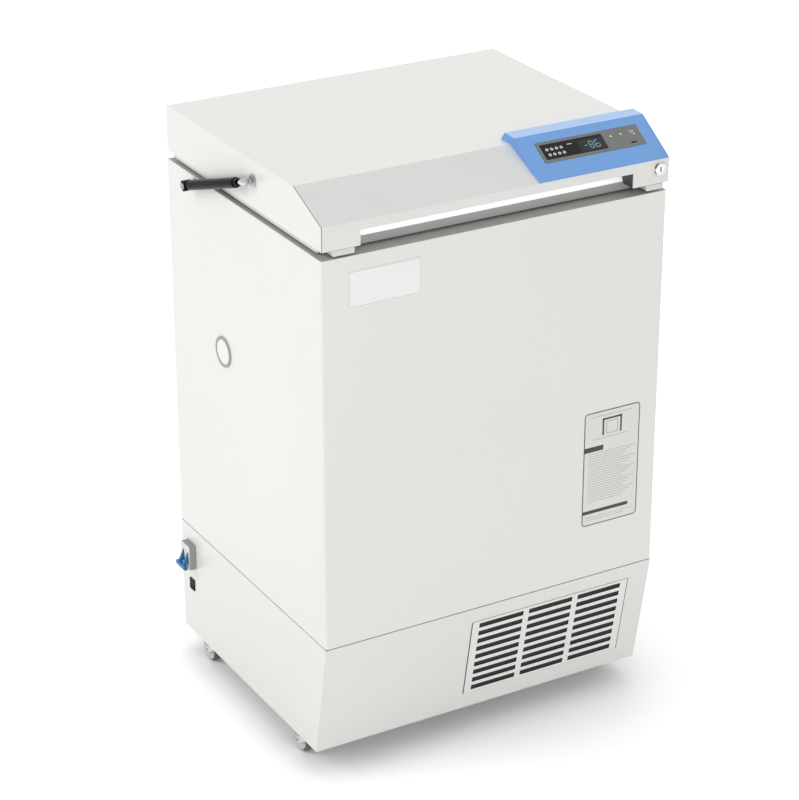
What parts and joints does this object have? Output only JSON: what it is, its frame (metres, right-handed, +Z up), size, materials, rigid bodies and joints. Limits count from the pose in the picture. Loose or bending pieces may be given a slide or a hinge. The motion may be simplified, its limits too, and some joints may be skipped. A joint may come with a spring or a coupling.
{
  "type": "ultra low temperature freezer",
  "caption": "Small ultra low temperature chest freezer on casters: hinged top lid with gas struts, sloping control console, lock and grip, side access port, and a base with a slotted grille.",
  "frame": {"origin": "on the floor, below the middle of the bounding box", "axes": "+Z up, the front with the console faces -Y, +X to the right seen from the front"},
  "size_m": [0.707, 0.606, 1.081],
  "materials": {
    "white_enamel": "gloss",
    "fascia_white": "satin",
    "frame_white": "satin",
    "collar_grey": "satin",
    "port_foam_white": "matte",
    "breaker_white": "matte",
    "grille_white": "matte",
    "pu_foam": "matte",
    "stainless": "satin",
    "copper": "satin",
    "zinc_steel": "satin",
    "frame_grey": "matte",
    "fin_aluminium": "satin",
    "grey_plastic": "matte",
    "black_plastic": "matte",
    "filter_black": "matte",
    "black_enamel": "gloss",
    "chrome": "polished",
    "lever_blue": "satin",
    "gasket_grey": "matte",
    "console_blue": "satin",
    "panel_grey": "satin",
    "display_black": "gloss",
    "wheel_grey": "satin",
    "pedal_white": "satin"
  },
  "bodies": {
    "cabinet": {"cabinet_wrapper": "white_enamel", "cabinet_back_panel": "white_enamel", "cabinet_bulkhead": "zinc_steel", "cabinet_foam": "pu_foam", "chamber_liner": "stainless", "evaporator_coil": "copper", "mouth_collar": "collar_grey", "port_sleeve": "grey_plastic", "hinge_cabinet_leaves": "zinc_steel", "strut_cabinet_mounts": "zinc_steel", "wall_spacers": "grey_plastic", "base_front_panel": "white_enamel", "base_side_panels": "white_enamel", "base_rear_panel": "white_enamel", "base_frame": "frame_grey", "base_pan": "zinc_steel", "front_grille": "grille_white", "condenser_filter": "filter_black", "condenser": "fin_aluminium", "fan_shroud": "grey_plastic", "compressor": "black_enamel", "refrigerant_lines": "copper", "electrical_box": "zinc_steel", "breaker_case": "breaker_white", "rocker_housing": "black_plastic", "power_inlet": "black_plastic", "caster_plates": "zinc_steel"},
    "lid": {"lid_shell": "white_enamel", "lid_fascia": "fascia_white", "lid_frame": "frame_white", "lid_inner_pan": "frame_white", "lid_foam": "pu_foam", "lid_gasket": "gasket_grey", "lid_hinge_leaves": "zinc_steel", "strut_lid_mounts": "zinc_steel", "console_housing": "console_blue", "control_panel": "panel_grey", "display_window": "display_black", "lock_body": "chrome"},
    "lock": {"lock_core": "chrome"},
    "fan": {"fan_blades": "black_plastic"},
    "breaker": {"breaker_lever": "lever_blue"},
    "rocker_switch": {"rocker": "black_plastic"},
    "plug": {"port_plug": "port_foam_white"},
    "tube_left": {"strut_tube_left": "black_enamel"},
    "rod_left": {"strut_rod_left": "chrome"},
    "tube_right": {"strut_tube_right": "black_enamel"},
    "rod_right": {"strut_rod_right": "chrome"},
    "fork_front_left": {"caster_fork_front_left": "zinc_steel"},
    "wheel_front_left": {"caster_wheel_front_left": "wheel_grey"},
    "pedal_front_left": {"caster_pedal_front_left": "pedal_white"},
    "fork_front_right": {"caster_fork_front_right": "zinc_steel"},
    "wheel_front_right": {"caster_wheel_front_right": "wheel_grey"},
    "pedal_front_right": {"caster_pedal_front_right": "pedal_white"},
    "fork_rear_left": {"caster_fork_rear_left": "zinc_steel"},
    "wheel_rear_left": {"caster_wheel_rear_left": "wheel_grey"},
    "pedal_rear_left": {"caster_pedal_rear_left": "pedal_white"},
    "fork_rear_right": {"caster_fork_rear_right": "zinc_steel"},
    "wheel_rear_right": {"caster_wheel_rear_right": "wheel_grey"},
    "pedal_rear_right": {"caster_pedal_rear_right": "pedal_white"}
  },
  "joints": [
    {"name": "lid_hinge", "type": "hinge", "parent": "cabinet", "child": "lid", "pos_m": [0, 0.275, 0.97675], "axis": [-1, 0, 0], "range_deg": [0, 80]},
    {"name": "lock_turn", "type": "hinge", "parent": "lid", "child": "lock", "pos_m": [0.3107, -0.301, 1.0098], "axis": [0, -1, 0], "range_deg": [0, 90]},
    {"name": "breaker_throw", "type": "hinge", "parent": "cabinet", "child": "breaker", "pos_m": [-0.3355, 0.2234, 0.2126], "axis": [0, 1, 0], "range_deg": [0, 60]},
    {"name": "rocker_tip", "type": "hinge", "parent": "cabinet", "child": "rocker_switch", "pos_m": [-0.327, 0.2234, 0.1508], "axis": [0, -1, 0], "range_deg": [0, 14]},
    {"name": "plug_pull", "type": "slide", "parent": "cabinet", "child": "plug", "axis": [-1, 0, 0], "range_m": [0, 0.12]},
    {"name": "fan_spin", "type": "hinge", "parent": "cabinet", "child": "fan", "pos_m": [0.1125, -0.16, 0.163], "axis": [0, 1, 0], "continuous": true},
    {"name": "strut_left_swing", "type": "hinge", "parent": "cabinet", "child": "tube_left", "pos_m": [-0.344, 0.154, 0.9565], "axis": [-1, 0, 0], "range_deg": [0, 89]},
    {"name": "strut_left_extend", "type": "slide", "parent": "tube_left", "child": "rod_left", "axis": [0, -0.9459, 0.3245], "range_m": [0, 0.152]},
    {"name": "strut_right_swing", "type": "hinge", "parent": "cabinet", "child": "tube_right", "pos_m": [0.344, 0.154, 0.9565], "axis": [-1, 0, 0], "range_deg": [0, 89]},
    {"name": "strut_right_extend", "type": "slide", "parent": "tube_right", "child": "rod_right", "axis": [0, -0.9459, 0.3245], "range_m": [0, 0.152]},
    {"name": "caster_front_left_swivel", "type": "hinge", "parent": "cabinet", "child": "fork_front_left", "pos_m": [-0.304, -0.145, 0.05], "axis": [0, 0, 1], "continuous": true},
    {"name": "caster_front_left_roll", "type": "hinge", "parent": "fork_front_left", "child": "wheel_front_left", "pos_m": [-0.304, -0.165, 0.0225], "axis": [1, 0, 0], "continuous": true},
    {"name": "caster_front_left_brake", "type": "hinge", "parent": "fork_front_left", "child": "pedal_front_left", "pos_m": [-0.304, -0.165, 0.0225], "axis": [1, 0, 0], "range_deg": [0, 18]},
    {"name": "caster_front_right_swivel", "type": "hinge", "parent": "cabinet", "child": "fork_front_right", "pos_m": [0.304, -0.145, 0.05], "axis": [0, 0, 1], "continuous": true},
    {"name": "caster_front_right_roll", "type": "hinge", "parent": "fork_front_right", "child": "wheel_front_right", "pos_m": [0.304, -0.165, 0.0225], "axis": [1, 0, 0], "continuous": true},
    {"name": "caster_front_right_brake", "type": "hinge", "parent": "fork_front_right", "child": "pedal_front_right", "pos_m": [0.304, -0.165, 0.0225], "axis": [1, 0, 0], "range_deg": [0, 18]},
    {"name": "caster_rear_left_swivel", "type": "hinge", "parent": "cabinet", "child": "fork_rear_left", "pos_m": [-0.304, 0.216, 0.05], "axis": [0, 0, 1], "continuous": true},
    {"name": "caster_rear_left_roll", "type": "hinge", "parent": "fork_rear_left", "child": "wheel_rear_left", "pos_m": [-0.304, 0.196, 0.0225], "axis": [1, 0, 0], "continuous": true},
    {"name": "caster_rear_left_brake", "type": "hinge", "parent": "fork_rear_left", "child": "pedal_rear_left", "pos_m": [-0.304, 0.196, 0.0225], "axis": [1, 0, 0], "range_deg": [0, 18]},
    {"name": "caster_rear_right_swivel", "type": "hinge", "parent": "cabinet", "child": "fork_rear_right", "pos_m": [0.304, 0.216, 0.05], "axis": [0, 0, 1], "continuous": true},
    {"name": "caster_rear_right_roll", "type": "hinge", "parent": "fork_rear_right", "child": "wheel_rear_right", "pos_m": [0.304, 0.196, 0.0225], "axis": [1, 0, 0], "continuous": true},
    {"name": "caster_rear_right_brake", "type": "hinge", "parent": "fork_rear_right", "child": "pedal_rear_right", "pos_m": [0.304, 0.196, 0.0225], "axis": [1, 0, 0], "range_deg": [0, 18]}
  ],
  "couplings": [
    {"joint": "strut_left_swing", "follows": "lid_hinge", "ratio": 1.1082},
    {"joint": "strut_left_extend", "follows": "lid_hinge", "m_per_rad": 0.10819},
    {"joint": "strut_right_swing", "follows": "lid_hinge", "ratio": 1.1082},
    {"joint": "strut_right_extend", "follows": "lid_hinge", "m_per_rad": 0.10819}
  ]
}
